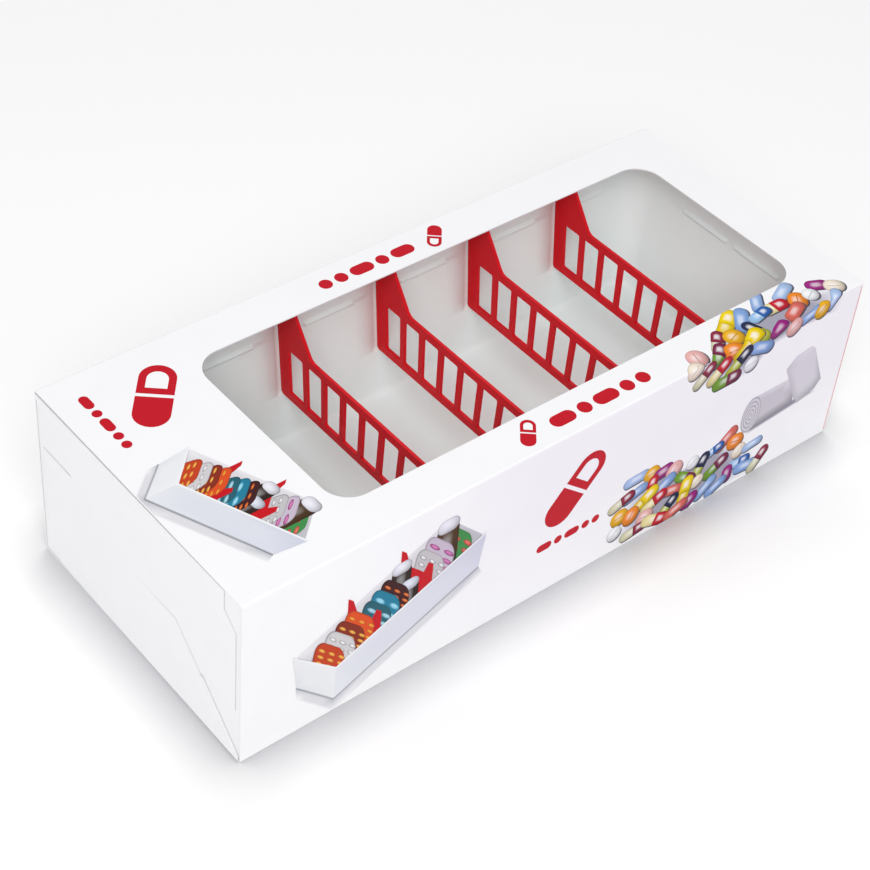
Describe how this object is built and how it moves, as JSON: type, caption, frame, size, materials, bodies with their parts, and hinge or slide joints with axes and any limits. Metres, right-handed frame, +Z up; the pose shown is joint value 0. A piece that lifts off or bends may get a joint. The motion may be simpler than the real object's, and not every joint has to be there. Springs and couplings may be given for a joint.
{
  "type": "pill organizer in windowed carton",
  "caption": "Long compartment tray with removable slotted dividers for medicine packs, in a folded carton with a window on top and a closing lid at one end.",
  "frame": {"origin": "middle of the carton's base, on the surface that it stands on", "axes": "+X along the carton to the closing lid, +Y to the back, +Z up through the window"},
  "size_m": [0.35, 0.149, 0.0936],
  "materials": {
    "board": "white coated carton board, satin",
    "tray": "light grey moulded plastic, satin",
    "divider": "red moulded plastic, satin"
  },
  "bodies": {
    "box": {"carton": "board", "tray": "tray", "divider_1": "divider", "divider_2": "divider", "divider_3": "divider", "divider_4": "divider"},
    "lid": {"end_lid": "board"}
  },
  "joints": [
    {"name": "lid_hinge", "type": "hinge", "parent": "box", "child": "lid", "pos_m": [0.175, 0, 0.0933], "axis": [0, -1, 0], "range_deg": [0, 135]}
  ]
}
